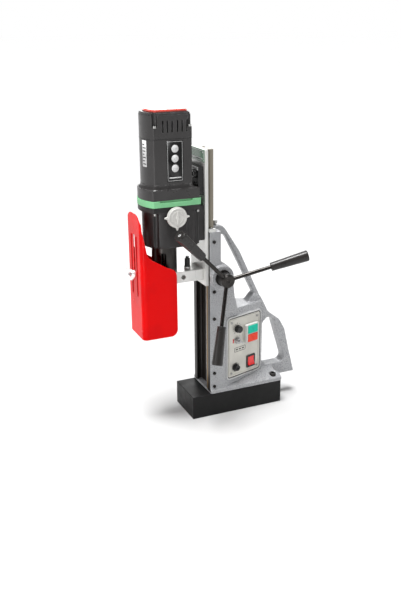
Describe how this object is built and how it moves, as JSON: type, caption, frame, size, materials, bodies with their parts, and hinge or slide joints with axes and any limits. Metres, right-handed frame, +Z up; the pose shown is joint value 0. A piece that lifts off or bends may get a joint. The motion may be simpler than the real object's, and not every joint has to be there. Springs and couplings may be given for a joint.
{
  "type": "magnetic drill press",
  "caption": "Magnetic drill press: electromagnet base, cast stand with handle, dovetail slide, upright motor and gearbox, three-arm feed capstan, red chip guard",
  "frame": {"origin": "centre of the electromagnet's bottom face, the face that grips the work", "axes": "+Z up, -Y towards the spindle and guard, +X towards the capstan and the control panel"},
  "size_m": [0.21, 0.4525, 0.765],
  "materials": {
    "black_steel": "satin black paint on steel",
    "copper_coil": "enamelled copper winding",
    "potting": "dark potting resin",
    "cast_paint": "silver hammered paint on a fine casting",
    "dark_fasteners": "black oxide",
    "bright_fasteners": "zinc plated",
    "bronze": "plain bearing bronze",
    "panel_sheet": "light grey lacquer over aluminium",
    "board": "glass-fibre laminate",
    "white_plastic": "moulded",
    "black_plastic": "moulded",
    "grey_plastic": "moulded",
    "ground_steel": "ground",
    "slide_steel": "ground, lightly oiled",
    "machined_steel": "machined",
    "oxide_steel": "black oxide",
    "green_sheet": "green lacquer",
    "gearbox_paint": "textured black paint on cast aluminium",
    "cast_aluminium": "as cast",
    "green_rubber": "light green moulded band",
    "motor_plastic": "glass-filled nylon, fine texture",
    "red_insert": "moulded",
    "laminations": "stacked laminations and windings",
    "fan_plastic": "moulded",
    "fitting_black": "black",
    "knob_alloy": "bead blasted",
    "guard_red": "glossy bent sheet",
    "grip_rubber": "moulded grip",
    "start_green": "moulded",
    "stop_red": "moulded",
    "rocker_red": "lit red rocker"
  },
  "bodies": {
    "stand": {"magnet_core": "black_steel", "magnet_coil": "copper_coil", "magnet_potting": "potting", "stand_casting": "cast_paint", "base_bolts": "dark_fasteners", "gib_strip": "bronze", "gib_screws": "bright_fasteners", "column_caps": "ground_steel", "cap_screws": "bright_fasteners", "pinion_bushes": "bronze", "control_panel": "panel_sheet", "panel_screws": "bright_fasteners", "circuit_board": "board", "switch_block": "white_plastic", "rocker_bezel": "black_plastic", "fuse_holder": "black_plastic", "mains_gland": "black_plastic"},
    "carriage": {"slide_plate": "ground_steel", "slide_dovetail": "slide_steel", "feed_rack": "machined_steel", "slide_bolts": "dark_fasteners", "name_plate": "green_sheet", "junction_box": "black_plastic", "motor_gland": "black_plastic", "gearbox_case": "gearbox_paint", "gear_plate": "cast_aluminium", "band_gasket": "green_rubber", "motor_housing": "motor_plastic", "motor_cap": "motor_plastic", "cap_insert": "red_insert", "motor_screws": "bright_fasteners", "motor_stator": "laminations", "brush_holders": "bronze", "motor_bearings": "machined_steel", "spindle_bearings": "machined_steel", "support_bracket": "ground_steel", "bracket_bush": "bronze", "coolant_fitting": "fitting_black", "guard_mount": "machined_steel"},
    "spindle_body": {"spindle": "oxide_steel", "spindle_gear": "machined_steel", "tool_arbor": "oxide_steel", "arbor_screws": "dark_fasteners"},
    "layshaft_body": {"layshaft": "machined_steel", "layshaft_gear": "machined_steel"},
    "rotor_body": {"motor_shaft": "machined_steel", "motor_armature": "laminations", "cooling_fan": "fan_plastic"},
    "gear_knob_body": {"gear_knob": "knob_alloy"},
    "guard_body": {"chip_guard": "guard_red"},
    "wing_nut_body": {"wing_nut": "bright_fasteners"},
    "capstan_body": {"pinion_shaft": "machined_steel", "capstan_hub": "oxide_steel", "capstan_arms": "machined_steel", "capstan_grips": "grip_rubber"},
    "start_body": {"start_button": "start_green"},
    "stop_body": {"stop_button": "stop_red"},
    "rocker_body": {"magnet_rocker": "rocker_red"},
    "speed_body": {"speed_knob": "black_plastic"},
    "mode_body": {"mode_selector": "grey_plastic"}
  },
  "joints": [
    {"name": "feed_slide", "type": "slide", "parent": "stand", "child": "carriage", "axis": [0, 0, 1], "range_m": [-0.23, 0]},
    {"name": "capstan_turn", "type": "hinge", "parent": "stand", "child": "capstan_body", "pos_m": [0, -0.045, 0.366], "axis": [1, 0, 0], "range_deg": [-2, 882]},
    {"name": "spindle_turn", "type": "hinge", "parent": "carriage", "child": "spindle_body", "pos_m": [0, -0.172, 0.4], "axis": [0, 0, 1], "continuous": true},
    {"name": "layshaft_turn", "type": "hinge", "parent": "carriage", "child": "layshaft_body", "pos_m": [0, -0.136, 0.5], "axis": [0, 0, 1], "continuous": true},
    {"name": "motor_turn", "type": "hinge", "parent": "carriage", "child": "rotor_body", "pos_m": [0, -0.16, 0.65], "axis": [0, 0, 1], "continuous": true},
    {"name": "gear_knob_turn", "type": "hinge", "parent": "carriage", "child": "gear_knob_body", "pos_m": [0.058, -0.16, 0.526], "axis": [1, 0, 0], "range_deg": [0, 180]},
    {"name": "guard_slide", "type": "slide", "parent": "carriage", "child": "guard_body", "axis": [0, 0, -1], "range_m": [0, 0.09]},
    {"name": "wing_nut_turn", "type": "hinge", "parent": "carriage", "child": "wing_nut_body", "pos_m": [0, -0.252, 0.388], "axis": [0, 1, 0], "continuous": true},
    {"name": "start_press", "type": "slide", "parent": "stand", "child": "start_body", "axis": [-0.9608, -0.2773, 0], "range_m": [0, 0.003], "stiffness_N_per_m": 400},
    {"name": "stop_press", "type": "slide", "parent": "stand", "child": "stop_body", "axis": [-0.9608, -0.2773, 0], "range_m": [0, 0.003], "stiffness_N_per_m": 400},
    {"name": "rocker_tilt", "type": "hinge", "parent": "stand", "child": "rocker_body", "pos_m": [0.02662, 0.04669, 0.121], "axis": [-0.2773, 0.9608, 0], "range_deg": [0, 18]},
    {"name": "speed_turn", "type": "hinge", "parent": "stand", "child": "speed_body", "pos_m": [0.04418, 0.00388, 0.221], "axis": [0.9608, 0.2773, 0], "range_deg": [0, 270]},
    {"name": "mode_turn", "type": "hinge", "parent": "stand", "child": "mode_body", "pos_m": [0.04418, 0.00388, 0.189], "axis": [0.9608, 0.2773, 0], "range_deg": [0, 90]}
  ],
  "couplings": [
    {"joint": "capstan_turn", "follows": "feed_slide", "rad_per_m": -66.667},
    {"joint": "layshaft_turn", "follows": "spindle_turn", "ratio": -3},
    {"joint": "motor_turn", "follows": "spindle_turn", "ratio": 9}
  ]
}
